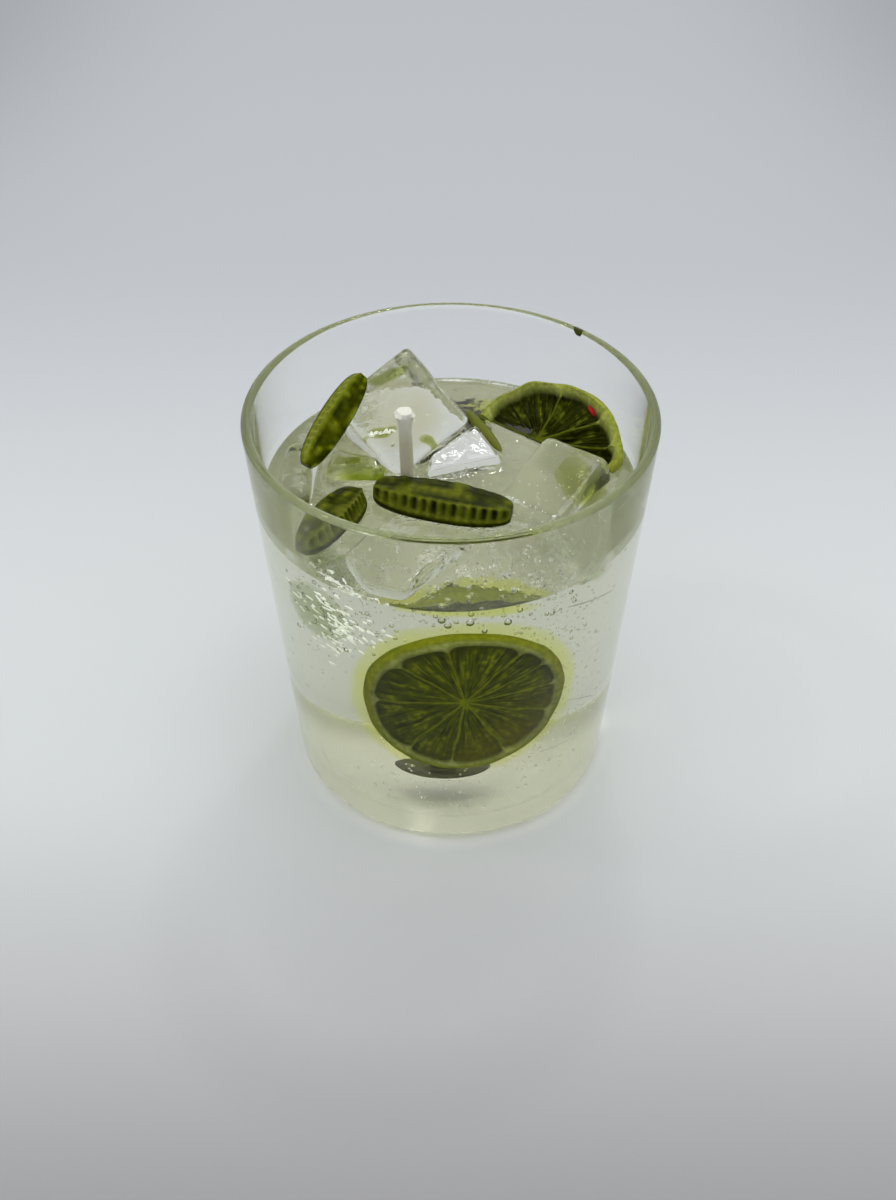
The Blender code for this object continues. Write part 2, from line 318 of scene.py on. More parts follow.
glass_material, shader, value = clear_material("clear glass", GLASS_INDEX, *GLASS_TINT)
shader.inputs["Specular Tint"].default_value = (0.25, 0.27, 0.03, 1.0)
outside, y, z = past_wall(value)
under_gel = z.below(y * LEVEL_TILT + (LEVEL + MENISCUS) * MM)
wet = outside.below(WALL / 2 * MM) * z.above(FLOOR_MIDDLE * MM) * under_gel
feed(shader, "Roughness", z.below(MATT_FOOT * MM) * 0.6)
against_gel = value.node("ShaderNodeBsdfPrincipled", {
    "Base Color": WHITE, "Roughness": 0.0, "IOR": GLASS_INDEX / GEL_INDEX,
    "Transmission Weight": 1.0,
})
share(shader, wet, against_gel)

gel_material, shader, value = clear_material("clear gel", GEL_INDEX, *GEL_TINT)
outside, y, z = past_wall(value)
vector = value.place()
dents = value.noise(vector, 210.0) + value.noise(vector, 700.0) * 0.25
feed(shader, "Normal", value.bump(dents, 0.6, 0.0006))
in_wall, sunk = outside.above(INTO_WALL / 2 * MM), z.below((LEVEL - TOP_DEPTH) * MM)
straight = value.node("ShaderNodeBsdfTransparent", {"Color": WHITE})
share(shader, value.math("MAXIMUM", in_wall, sunk), straight)
print("materials:", glass_material.name, "and", gel_material.name)

# %% [markdown]
# ## The tumbler
# Pressed glass: a thick flat floor, a rounded foot, a wall that widens a little upward, and a rim
# that was melted round. It is one profile turned round Z, with the sizes of the CAD solid and
# more steps, because each facet of a clear wall would bend the view behind it.

# %% Tumbler
# Steps of the three rounded places, and a ring on each flat that keeps its faces short
FOOT_STEPS, RIM_STEPS, CORNER_STEPS = 10, 16, 12
FOOT_RING, FLOOR_RING = 20.0, 15.0


def make_tumbler():
    profile = [(0.0, 0.0), (FOOT_RING, 0.0)]
    corner_x = FOOT_RADIUS + SLOPE * FOOT_CORNER - FOOT_CORNER * SLANT
    profile += arc((corner_x, FOOT_CORNER), FOOT_CORNER, -90, -LEAN, FOOT_STEPS)
    rim = (FOOT_RADIUS + SLOPE * HEIGHT - RIM / 2, HEIGHT - RIM / 2)
    profile += arc(rim, RIM / 2, -LEAN, 180 - LEAN, RIM_STEPS)
    inner_z = FLOOR + FLOOR_CORNER
    corner = (wall_inside(inner_z) - FLOOR_CORNER * SLANT, inner_z)
    profile += arc(corner, FLOOR_CORNER, -LEAN, -90, CORNER_STEPS)
    profile += [(FLOOR_RING, FLOOR), (0.0, FLOOR)]
    return finished("tumbler", turned(profile), glass_material)


part(make_tumbler(), "glass", "glass")

# %% [markdown]
# ## The gel with its ice cubes
# The gel is turned like the glass, but it reaches 0.1 mm into the wall, so that no air shows
# between them. Its top is not flat: it climbs at the wall and up each cube that stands in it. The
# cubes were cast of the same gel, so nothing of them shows below the surface. They are therefore
# joined with the gel into one body by a Boolean union.

# %% Gel
CUBES = ("ice_back", "ice_right", "ice_small", "ice_wick", "ice_left", "ice_front")
GEL_STEPS, TOP_RINGS = 240, 84
# Size and height of the waves in a cube's faces; size, seed and height of the top's ripples
WAVES = ((6.5, 0.28), (2.2, 0.05))
RIPPLES = ((9, 0, 0.30), (3, 5, 0.10), (1.4, 9, 0.03))
# How high the gel climbs at a cube, within which distance it does, and within what it is calm
CUBE_CLIMB, CLIMB_REACH, CALM = 0.8, 0.9, 2.0


def cast_block(name):
    """The CAD block with soft, slightly wavy faces, as a cast piece of gel has them."""
    block = bpy.data.objects.new("cast_" + name, nodes[name].data.copy())
    bpy.context.scene.collection.objects.link(block)
    remesh = block.modifiers.new("even faces", "REMESH")
    remesh.mode = "VOXEL"
    remesh.voxel_size = 0.5 * MM
    soften = block.modifiers.new("soft edges", "SMOOTH")
    soften.factor = 0.5
    soften.iterations = 3
    apply_modifiers(block)
    for vert in block.data.vertices:
        wave = sum(noise.noise(vert.co / (size * MM)) * height for size, height in WAVES)
        vert.co += vert.normal * wave * MM
    return block


def raise_surface(body, edge, shore):
    """Shapes the gel's top: it climbs at the wall and round each cube, and ripples a little."""
    verts = body.data.vertices
    points = np.empty(len(verts) * 3)
    verts.foreach_get("co", points)
    points = points.reshape(-1, 3)
    top = np.flatnonzero(points[:, 2] > (edge - 0.01) * MM)
    flat = points[top, :2] / MM
    to_wall = np.maximum(wall_inside(LEVEL) - np.hypot(*flat.T), 0.0)
    to_cube = np.array([np.sqrt(((shore - p) ** 2).sum(1).min()) for p in flat])
    at_wall = MENISCUS * np.exp(-to_wall / CLIMB_REACH)
    at_cube = CUBE_CLIMB * np.exp(-to_cube / CLIMB_REACH)
    climb = np.minimum(at_wall + at_cube, MENISCUS)
    ripple = np.array([
        sum(noise.noise((x / size, y / size, seed)) * height for size, seed, height in RIPPLES)
        for x, y in flat
    ])
    level = LEVEL + LEVEL_TILT * flat[:, 1]
    points[top, 2] = (level + climb + ripple * np.minimum(to_wall / CALM, 1.0)) * MM
    verts.foreach_set("co", points.ravel())


def shore_of(blocks, band=0.3):
    """Points of the cubes close to the gel's level, where it climbs them."""
    points = [vert.co for block in blocks for vert in block.data.vertices]
    return np.array([(p.x / MM, p.y / MM) for p in points if abs(p.z / MM - LEVEL) < band])


def make_gel():
    floor = FLOOR - INTO_WALL
    corner_z = floor + FLOOR_CORNER
    edge = LEVEL + MENISCUS
    wall = wall_inside(edge) + INTO_WALL
    profile = [(0.0, floor), (FLOOR_RING, floor)]
    corner_x = wall_inside(corner_z) + INTO_WALL - FLOOR_CORNER * SLANT
    profile += arc((corner_x, corner_z), FLOOR_CORNER, -90, -LEAN, CORNER_STEPS)
    profile += [(wall, edge)]
    start = wall - INTO_WALL - 0.05
    profile += [(start * (1 - i / TOP_RINGS), edge) for i in range(TOP_RINGS + 1)]
    body = finished("gel_and_ice", turned(profile, GEL_STEPS), gel_material)
    blocks = [cast_block(name) for name in CUBES]
    raise_surface(body, edge, shore_of(blocks))
    for block in blocks:
        join = body.modifiers.new("with " + block.name, "BOOLEAN")
        join.operation, join.solver, join.object = "UNION", "EXACT", block
    apply_modifiers(body)
    for block in blocks:
        bpy.data.objects.remove(block)
    body.data.shade_smooth()
    body.data.set_sharp_from_angle(angle=math.radians(55))
    return body


part(make_gel(), "gel", "gel", *CUBES)

# %% [markdown]
# ## Wax
# The slices are dyed wax pressed in a mould. Their colour is worked out with their relief, point
# by point, and stored in the mesh: dark in each hollow, partly the flesh's own green and partly
# painted shade, lighter on each rib, palest in the pith.
# The material reads it, adds a fine mottle and a satin shine.

# %% Wax material
def wax_material(name, gloss):
    """Wax with its colour stored in the mesh. In gel it hardly shines: both bend light alike."""
    made, shader, value = new_material(name, Roughness=0.3, IOR=1.44, Specular_IOR_Level=gloss)
    shader.inputs["Specular Tint"].default_value = (0.9, 1.0, 0.15, 1.0)
    vector = value.place()
    tint = value.node("ShaderNodeAttribute", attribute_name="tint")
    mottle = value.noise(vector, 900.0).between(0.35, 0.7)
    multiply = {"data_type": "RGBA", "blend_type": "MULTIPLY"}
    deep = value.node("ShaderNodeMix", {0: 1.0, 6: tint, 7: (0.66, 0.70, 0.5, 1)}, 2, **multiply)
    feed(shader, "Base Color", mottle.mix(deep, tint))
    feed(shader, "Normal", value.bump(value.noise(vector, 700.0), 0.4, 0.0004))
    return made


lime_material = wax_material("lime wax", 0.07)
sunk_wax = wax_material("lime wax in gel", 0.0)
print("materials:", lime_material.name, "and", sunk_wax.name)


def blend(first, second, amount):
    """A colour between two, for an amount from 0 to 1."""
    amount = min(1.0, max(0.0, amount))
    return tuple(a + (b - a) * amount for a, b in zip(first, second))


def smooth(value, low, high):
    """0 at low, 1 at high, with an easy start and end."""
    t = min(1.0, max(0.0, (value - low) / (high - low)))
    return t * t * (3 - 2 * t)


# %% [markdown]
# ## Lime wheels
# A whole wheel is sunk in front, and half of one lies at the back right. Both are a turned disc
# whose upper face is pressed into lobes between thin ribs, out to a scalloped edge with pale pith
# and a raised rind. The lobes are unequal as in a real lime, so the angles of the ribs between
# them are listed.

# %% Lime wheels
# Colours of the wax: darkest, which also paints shade at the lobes' outer ends, flesh, light
# streaks, membranes, pith and rind
SUNK_COLOURS = (
    srgb(46, 53, 0), srgb(90, 98, 0), srgb(132, 139, 4),
    srgb(124, 131, 12), srgb(172, 178, 104), srgb(138, 144, 18),
)
BACK_COLOURS = (
    srgb(10, 13, 0), srgb(42, 47, 2), srgb(100, 107, 30),
    srgb(84, 90, 16), srgb(156, 162, 86), srgb(140, 146, 58),
)
# Sizes in millimetres, the steps round each wheel, the angles of its ribs, and the colour that
# its flesh turns to towards one side
WHEEL = {
    "radius": 19.6, "thick": 4.2, "pith": 17.6, "dish": 0.6, "depth": 0.8, "uneven": 0.02,
    "band": 1.3, "ribs": (8, 28, 53, 100, 137, 180, 229, 262, 300, 341, 368), "steps": 300,
    "colours": SUNK_COLOURS, "side_tint": srgb(112, 104, 0),
}
HALF_WHEEL = {
    "radius": 15.2, "thick": 4.4, "pith": 13.0, "dish": 1.1, "depth": 1.9, "uneven": 0.07,
    "band": 0.0, "ribs": (0, 20, 50, 96, 178, 360), "steps": 280,
    "colours": BACK_COLOURS, "side_tint": srgb(30, 36, 0),
}
WHEEL_CENTRE, WHEEL_YAW = (2.2, -26.2, 41.3), math.radians(6.0)
# The wheel's upper half is a little flatter than a circle, and the half wheel is drawn out
UPPER_HALF, BACK_STRETCH = 0.92, 1.28
BACK_CENTRE, BACK_LIFT = (19.4, 16.4, 68.9), math.radians(25.0)
BACK_HEADING = math.atan2(-0.6, 0.8)
# The face ends this far from the rind's edge, and is made of rings of this width
RIND, RING = 1.3, 0.32
# The rind: how far in from its edge, with how far below the face, then how far above the back
RIND_TOP = ((0.9, 0.0), (0.4, 0.3), (0.1, 0.7), (0.0, 1.2))
RIND_BACK = ((0.1, 1.5), (0.4, 0.7), (0.8, 0.2), (RIND, 0.0))


def lobe_at(turn, ribs):
    """How far across its lobe an angle lies, from 0 to 1, the lobe's width and its number."""
    turn = (turn - ribs[0]) % 360 + ribs[0]
    for number, (low, high) in enumerate(zip(ribs, ribs[1:])):
        if low <= turn <= high:
            return (turn - low) / (high - low), high - low, number
    return 0.0, 1.0, 0


def lime_face(x, y, shape):
    """Height change in millimetres and colour of a point on the pressed face of a wheel."""
    radius, pith, depth, dish = (shape[key] for key in ("radius", "pith", "depth", "dish"))
    dark, flesh, light, membrane, pale, rind = shape["colours"]
    out = math.hypot(x, y)
    turn = math.degrees(math.atan2(y, x)) % 360
    wobble = noise.noise((x / 5, y / 5, radius)) * 4.0 * smooth(out, 1, 6)
    across, width, number = lobe_at(turn + wobble, shape["ribs"])
    to_rib = min(across, 1 - across) * math.radians(width) * out
    edge = pith + 0.6 - 1.3 * abs(2 * across - 1) ** 7
    edge += 0.6 * noise.noise((number * 3.1, radius, 0))
    edge -= shape["band"] * max(0.0, y / radius)
    inside = smooth(edge - out, 0.0, 0.9)
    hollow = smooth(to_rib, 0.1, 1.1) * inside * smooth(out, 1.2, 4.5)
    streak = 0.8 * noise.noise((math.radians(turn) * 11.0, out / 5.5, number))
    streak += 0.9 * noise.noise((turn / 1.5, out / 4, 7))
    height = -depth * hollow * (0.85 + 0.25 * streak) - dish * smooth(edge + 0.8 - out, 0.0, 1.2)
    grain = streak + 0.8 * noise.noise((x / 1.1, y / 1.1, 3))
    juicy = blend(dark, flesh, 0.6 + 1.1 * streak)
    juicy = blend(juicy, light, smooth(grain, 0.1, 0.7) * 0.8)
    # Painted shade: the flesh darkens toward the outer end of each lobe, under the rind
    juicy = blend(juicy, dark, smooth(out, edge - 4.0, edge - 0.7) * 0.7)
    # Towards one side the flesh turns to the side tint
    juicy = blend(juicy, shape["side_tint"], 0.6 * smooth(0.6 * x - 0.8 * y, 3, 16))
    colour = blend(membrane, juicy, smooth(to_rib, 0.02, 0.34))
    colour = blend(membrane, colour, smooth(out, 0.4, 1.8) * 0.85 + 0.1)
    colour = blend(pale, colour, inside)
    colour = blend(colour, rind, smooth(out, radius - 1.5, radius - 0.7))
    return height, colour


def disc_profile(radius, thick):
    """Half a section of a wheel that lies on XY, in millimetres: face, rounded rind and back."""
    rings = int(radius / RING)
    profile = [((radius - RIND) * i / rings, thick) for i in range(rings + 1)]
    profile += [(radius - inward, thick - down) for inward, down in RIND_TOP]
    profile += [(radius - inward, up) for inward, up in RIND_BACK]
    return profile + [(radius * 0.5, 0.0), (0.0, 0.0)]


def pressed_disc(shape):
    """A wheel with its lobes pressed in; each vertex keeps its colour in a layer."""
    radius, thick = shape["radius"], shape["thick"]
    flesh, rind = shape["colours"][1], shape["colours"][-1]
    bm = turned(disc_profile(radius, thick), shape["steps"])
    layer = bm.verts.layers.float_color.new("tint")
    for vert in bm.verts:
        x, y, z = vert.co / MM
        out = math.hypot(x, y)
        if z > thick - 0.05:
            height, colour = lime_face(x, y, shape)
            vert.co.z += height * MM
        else:
            colour = blend(flesh, rind, smooth(out, radius - 2, radius - 0.8))
        uneven = 1 + shape["uneven"] * noise.noise((x / 6, y / 6, 2.0)) * smooth(out, 2, radius)
        vert.co.x *= uneven
        vert.co.y *= uneven
        vert[layer] = colour
    return bm


def squeeze_into_glass(bm, room=0.6):
    """A soft slice that reaches the wall is pressed in by it."""
    for vert in bm.verts:
        reach = math.hypot(vert.co.x, vert.co.y)
        limit = (wall_inside(vert.co.z / MM) - room) * MM
        if reach > limit:
            vert.co.x *= limit / reach
            vert.co.y *= limit / reach


def make_wheel():
    bm = pressed_disc(WHEEL)
    for vert in bm.verts:
        vert.co.y *= UPPER_HALF if vert.co.y > 0 else 1.0
    upright = Matrix.Rotation(math.radians(90) - math.atan(SLOPE), 4, "X")
    place = Matrix.Translation(Vector(WHEEL_CENTRE) * MM) @ Matrix.Rotation(WHEEL_YAW, 4, "Z")
    bmesh.ops.transform(bm, matrix=place @ upright, verts=bm.verts)
    squeeze_into_glass(bm)
    return finished("sunk_lime_wheel", bm, sunk_wax)


def make_back_slice():
    bm = pressed_disc(HALF_WHEEL)
    everything = bm.verts[:] + bm.edges[:] + bm.faces[:]
    cut = bmesh.ops.bisect_plane(
        bm, geom=everything, plane_co=(0, 0, 0), plane_no=(0, -1, 0), clear_outer=True,
    )["geom_cut"]
    bmesh.ops.holes_fill(bm, edges=[e for e in cut if isinstance(e, bmesh.types.BMEdge)], sides=0)
    for vert in bm.verts:
        vert.co.x *= BACK_STRETCH if vert.co.x > 0 else 1.0
    place = Matrix.Translation(Vector(BACK_CENTRE) * MM)
    place @= Matrix.Rotation(BACK_HEADING, 4, "Z") @ Matrix.Rotation(BACK_LIFT, 4, "X")
    bmesh.ops.transform(bm, matrix=place, verts=bm.verts)
    squeeze_into_glass(bm)
    return finished("lime_half_wheel", bm, lime_material)


part(make_wheel(), "lime_wax", "lime_wheel")
part(make_back_slice(), "lime_wax", "lime_back")

# %% [markdown]
# ## Curled lime pieces
# Three narrow pieces show their side: a smooth streaked face on top, then a row of small hollow
# cells between ribs, then a band of rind. Each is a chain of cross-sections joined by bridges.
# The section's front is drawn in between two ribs, so the cells are real hollows.

# %% Curled pieces
CELLS, STEPS_A_CELL = 14, 6
# Size, centre and turns of each piece, how much lighter its colours are painted (lime_left's, as a
# painted sheen) and how deep its cells are
PIECES = {
    "lime_front": ((29.2, 10.2, 5.2), (-1.6, -7.2, 72.9), (6, 2, -14), 1.0, 1.0),
    "lime_front_left": ((22.0, 9.2, 5.2), (-24.3, -13.4, 72.8), (4, 2, 62), 1.0, 0.9),
    "lime_left": ((23.0, 6.4, 4.2), (-24.0, 7.4, 82.5), (-38, 29, -124), 1.5, 0.4),
}
# How near to its tip a piece is closed, how full it is before, and how its thickness grows
PIECE_TIP, FULLNESS, TIP_THICK, GROWTH = 0.985, 0.32, 0.45, 0.55
# The section: shares of width and height, how much it draws in, and face, rib, cell or rind
SECTION = (
    (0.36, -0.46, 0, "rind"), (0.45, -0.30, 0, "rind"), (0.47, -0.10, 0, "rind"),
    (0.47, 0.12, 0, "rind"), (0.42, 0.30, 0, "face"), (0.24, 0.35, 0, "face"),
    (0.05, 0.38, 0, "face"), (-0.14, 0.44, 0, "face"), (-0.30, 0.50, 0, "rib"),
    (-0.35, 0.48, 0.4, "cell"), (-0.39, 0.38, 1, "cell"), (-0.43, 0.24, 1.15, "cell"),
    (-0.47, 0.10, 1, "cell"), (-0.50, 0.02, 0.3, "rib"), (-0.53, -0.08, 0, "rind"),
    (-0.54, -0.20, 0, "rind"), (-0.48, -0.40, 0, "rind"), (-0.36, -0.50, 0, "rind"),
    (0.0, -0.50, 0, "rind"),
)
CELL_DEPTH, CREASE_DEPTH = 1.0, 0.4
# CELL_DARK and CREASE are painted shade over the flesh's own darker green: the cells darken with
# their depth, the face in its creases
CELL_DARK, CREASE = srgb(12, 15, 0), srgb(30, 35, 1)
FACE, FACE_LIGHT = srgb(56, 61, 1), srgb(96, 102, 18)
RIB_LIGHT, RIND_DARK, RIND_LIGHT = srgb(98, 104, 28), srgb(24, 28, 1), srgb(52, 57, 4)


def section_colour(kind, streak, hollow):
    """Colour of a point of the section, by its kind."""
    # Painted shade: the face darkens to CREASE in its creases, and each cell to CELL_DARK with its
    # depth
    if kind == "face":
        colour = blend(CREASE, FACE, 0.7 + 1.6 * streak)
        return blend(colour, FACE_LIGHT, smooth(streak, 0.1, 0.7))
    if kind == "cell":
        return blend(RIB_LIGHT, CELL_DARK, 1.3 * hollow - 0.35)
    if kind == "rib":
        return blend(RIB_LIGHT, FACE, 0.6 * hollow)
    return blend(RIND_DARK, RIND_LIGHT, 0.4 + streak)


def make_piece(name, size, centre, turns, painted_lightness, hollows):
    length, width, thick = size
    stations = CELLS * STEPS_A_CELL
    bm = bmesh.new()
    layer = bm.verts.layers.float_color.new("tint")
    loops = []
    for i in range(stations + 1):
        along = PIECE_TIP * (2 * i / stations - 1)
        full = (1 - along * along) ** FULLNESS
        reach, tall = width * full, thick * (TIP_THICK + GROWTH * full)
        phase = (i / STEPS_A_CELL) % 1.0
        uneven = noise.noise((int(i / STEPS_A_CELL) * 2.3, length, 9.0))
        hollow = (1 - abs(2 * phase - 1) ** 1.6) * (0.85 + 0.5 * uneven) * hollows
        verts = []
        for k, (y, z, draws, kind) in enumerate(SECTION):
            streak = noise.noise((along * 3.0, k * 0.9, length))
            streak += 0.6 * noise.noise((along * 9.0, k * 1.7, 4))
            inset = CELL_DEPTH * full * hollow * draws
            crease = CREASE_DEPTH * full * (streak - 0.3) if kind == "face" else 0.0
            lift = z * tall - 0.3 * inset + crease
            place = Vector((along * length / 2, y * reach + inset, lift))
            verts.append(bm.verts.new(place * MM))
            colour = section_colour(kind, streak, hollow)
            # Painted light: the colours are scaled by how much lighter the piece is painted
            verts[-1][layer] = [channel * painted_lightness for channel in colour[:3]] + [1.0]
        loops.append([bm.edges.new((verts[k - 1], verts[k])) for k in range(len(verts))])
    for near, far in zip(loops, loops[1:]):
        bmesh.ops.bridge_loops(bm, edges=near + far)
    bmesh.ops.holes_fill(bm, edges=loops[0] + loops[-1], sides=0)
    bmesh.ops.transform(bm, matrix=placed(centre, turns), verts=bm.verts)
    squeeze_into_glass(bm)
    return finished(name + "_piece", bm, lime_material, sharp=70)


for name, details in PIECES.items():
    part(make_piece(name, *details), "lime_wax", name)

# %% [markdown]
# ## Small bits of wax
# A thin sliver of rind lies on the gel right of the tall cube, with one end up, a drop of green
# wax has dried on the rim, and a speck of red sits on the half wheel's rind. They are small
# smooth shapes, so an ellipsoid serves for each.

# %% Small bits
# Centre and radii in millimetres, and turns in degrees
SLIVER = ((7.2, 18.6, 72.0), (7.8, 1.2, 0.7), (24, 4, -62))
DROP = ((27.5, 30.7, 89.5), (1.3, 0.5, 0.7), (0, 20, -42))
RED_FLECK = ((30.6, 20.4, 75.9), (1.5, 0.7, 0.4), (0, 30, -50))


def plain_wax(name, colour):
    return new_material(name, Base_Color=colour, Roughness=0.35, Specular_IOR_Level=0.1)[0]


green_rind = plain_wax("green rind", srgb(92, 99, 26))
green_drop = plain_wax("green drop", srgb(70, 78, 20))
red_wax = plain_wax("red wax", srgb(150, 22, 18))
part(ellipsoids("rind_sliver", (SLIVER,), green_rind), "lime_wax")
part(ellipsoids("rim_drop", (DROP,), green_drop, 3), "lime_wax")
part(ellipsoids("red_fleck", (RED_FLECK,), red_wax, 3), "lime_wax")

# %% [markdown]
# ## Wick and its metal foot
# The wick is braided cotton dipped in wax, with a frayed, flared tip. It is a turned rod whose
# end is roughened by noise. Its thread runs down to a small metal plate near the glass floor,
# which shows as a dark crescent under the lime wheel.

# %% Wick
WICK_FOOT, WICK_TOP = Vector((-8.7, 2.1, 58.0)), Vector((-9.4, 2.1, 88.4))
WICK_RADIUS, WICK_RINGS, WICK_STEPS = 1.45, 24, 32
# The flared tip: shares of the radius, and how far below the top
TIP = ((1.0, 3.4), (1.15, 1.8), (1.35, 0.8), (1.05, 0.0), (0.5, 0.2), (0.0, 0.3))
TIP_HEIGHT, WICK_TAPER = 4.4, 0.06
PLATE = (
    (0, 0), (6, 0), (6.2, 0.3), (5.8, 0.5), (2.4, 0.6), (1.8, 1.0), (1.7, 4), (1.3, 4.2), (0, 4.2),
)
PLATE_PLACE, PLATE_STEPS = Vector((-1.0, -1.0, FLOOR + 0.3)), 96

wick_material, shader, value = new_material("waxed cotton", Roughness=0.55, IOR=1.44)
vector = value.place()
braid_inputs = {"Vector": vector, "Scale": 320.0, "Distortion": 3.0}
braid = value.node("ShaderNodeTexWave", braid_inputs, output=1)
up = vector.xyz()[2].between(80 * MM, 87 * MM)
feed(shader, "Base Color", up.mix(srgb(180, 176, 150), srgb(208, 208, 195)))
feed(shader, "Normal", value.bump(braid, 0.3, 0.0003))

metal_material = new_material(
    "wick plate", Base_Color=srgb(84, 85, 66), Roughness=0.4, Metallic=1.0,
)[0]


def make_wick():
    tall = (WICK_TOP - WICK_FOOT).length
    profile = [(0.0, 0.0), (WICK_RADIUS, 0.0)]
    for i in range(1, WICK_RINGS + 1):
        taper = 1 - WICK_TAPER * i / WICK_RINGS
        profile.append((WICK_RADIUS * taper, (tall - TIP_HEIGHT) * i / WICK_RINGS))
    profile += [(WICK_RADIUS * width, tall - below) for width, below in TIP]
    bm = turned(profile, WICK_STEPS)
    for vert in bm.verts:
        fray = smooth(vert.co.z / MM, tall - 5, tall - 1)
        rough = 1 + 0.05 * noise.noise(vert.co / (0.9 * MM))
        rough += 0.3 * noise.noise(vert.co / (1.1 * MM)) * fray
        vert.co.x *= rough
        vert.co.y *= rough
    lean = (WICK_TOP - WICK_FOOT).to_track_quat("Z", "Y").to_matrix().to_4x4()
    bmesh.ops.transform(bm, matrix=Matrix.Translation(WICK_FOOT * MM) @ lean, verts=bm.verts)
    return finished("wick_cotton", bm, wick_material)


def make_plate():
    bm = turned(PLATE, PLATE_STEPS)
    bmesh.ops.translate(bm, verts=bm.verts, vec=PLATE_PLACE * MM)
    return finished("wick_plate", bm, metal_material, sharp=30)


part(make_wick(), "wick_cotton", "wick")
part(make_plate(), "wick_cotton")

# %% [markdown]
# ## Bubbles
# Air caught when the gel was poured. A bubble bends light the other way, so its index is that of
# air in gel. They lie thick at the right and under the cubes, and thinner elsewhere, each a small
# sphere; all are joined into one mesh.

# %% Bubbles
bubble_inputs = {"Color": WHITE, "Roughness": 0.0, "IOR": 1 / GEL_INDEX}
bubble_material = bare_material("air bubble", "ShaderNodeBsdfGlass", bubble_inputs)[0]

# Centre, spread and number of each swarm, and its smallest and largest radius, in millimetres
SWARMS = (
    ((0, 0, 40), (17, 17, 17), 300, 0.12, 0.45),
    ((20, -24, 56), (8, 6, 9), 330, 0.13, 0.42),
    ((-22, -22, 58), (6, 6, 6), 160, 0.20, 0.65),
    ((4, -25, 64), (13, 5, 3), 150, 0.15, 0.55),
    ((22, -20, 28), (7, 8, 11), 330, 0.12, 0.36),
    ((0, -30, 14), (16, 3, 4), 200, 0.12, 0.38),
    ((14, -8, 68), (10, 9, 2.0), 200, 0.13, 0.42),
    ((-8, 8, 69), (8, 5, 1.5), 80, 0.15, 0.55),
    ((6, -31, 64), (10, 3, 2.5), 14, 0.60, 0.95),
)


def in_wheel(point):
    """Whether a bubble would touch the wheel or hide its face."""
    x, y, z = WHEEL_CENTRE
    return point.y < y + 2 and math.hypot(point.x - x, point.z - z) < WHEEL["radius"] + 1


def in_gel(point, radius):
    """Whether a bubble lies in the gel with some room to its faces."""
    room = wall_inside(point.z) - radius - 0.3
    return 7 < point.z < LEVEL - radius - 0.8 and math.hypot(point.x, point.y) <= room


def make_bubbles():
    shapes = []
    for centre, spread, count, small, large in SWARMS:
        for i in range(count):
            point = Vector(rng.gauss(c, s) for c, s in zip(centre, spread))
            radius = small + (large - small) * rng.random() ** 3
            if in_gel(point, radius) and not in_wheel(point):
                shapes.append((point, (radius, radius, radius), (0, 0, 0)))
    return ellipsoids("bubbles", shapes, bubble_material, 2)


part(make_bubbles(), "gel")

# %% [markdown]
# ## White specks
# Air was also caught as flat pockets, drawn long as the gel set, and as foam beside the tall
# cube. They are white ellipsoids with a weak glow of their own; the glow is painted light, and so
# is the white of the flat pockets, which stands for the light that real trapped air throws back.

# %% White specks
# Painted light: the glow, and the white of the flat pockets, stand for light trapped air throws
# back
PAINTED_GLOW_WHITE = srgb(222, 226, 214)
painted_glow_material = new_material(
    "trapped air", Base_Color=PAINTED_GLOW_WHITE, Roughness=0.5,
    Emission_Color=PAINTED_GLOW_WHITE, Emission_Strength=0.4,
)[0]
# Number, height and angle of the flecks, each with its spread, and how far behind the wall
FLECKS, FLECK_HEIGHT, FLECK_ANGLE, FLECK_DEPTH = 110, (59, 4.5), (231, 8), (1.5, 4.5)
# Number, middle and radii of the spheres of foam by the tall cube, and the line they lie on
FOAM, FOAM_MIDDLE, FOAM_RADII = 34, (-14.4, 10.6, 77.0), (0.14, 0.34)
FOAM_REACH, FOAM_SLOPE = 2.8, 0.34


def make_specks():
    """White flecks of air behind the front wall, and foam by the tall cube."""
    shapes = []
    for i in range(FLECKS):
        height, turn = rng.gauss(*FLECK_HEIGHT), math.radians(rng.gauss(*FLECK_ANGLE))
        reach = wall_inside(height) - rng.uniform(*FLECK_DEPTH)
        long = 0.45 + 0.85 * rng.random() ** 2
        if height < LEVEL - 1.5:
            centre = (reach * math.cos(turn), reach * math.sin(turn), height)
            turns = (0, rng.gauss(14, 9), rng.gauss(-38, 8))
            shapes.append((centre, (long, 0.24, 0.28), turns))
    x, y, z = FOAM_MIDDLE
    for i in range(FOAM):
        along, radius = rng.uniform(-FOAM_REACH, FOAM_REACH), rng.uniform(*FOAM_RADII)
        centre = (x + along, y + FOAM_SLOPE * along + rng.gauss(0, 0.25), z + rng.gauss(0, 0.2))
        shapes.append((centre, (radius, radius, radius), (0, 0, 0)))
    return ellipsoids("white_specks", shapes, painted_glow_material, 2)


part(make_specks(), "gel")

# %% [markdown]
# ## Seams in the gel
# The gel was poured round cubes that had already set, and air stayed in some seams as fine curved
# threads. Each is a smooth curve through a few points behind the front wall, given a round
# section that thins towards its ends.

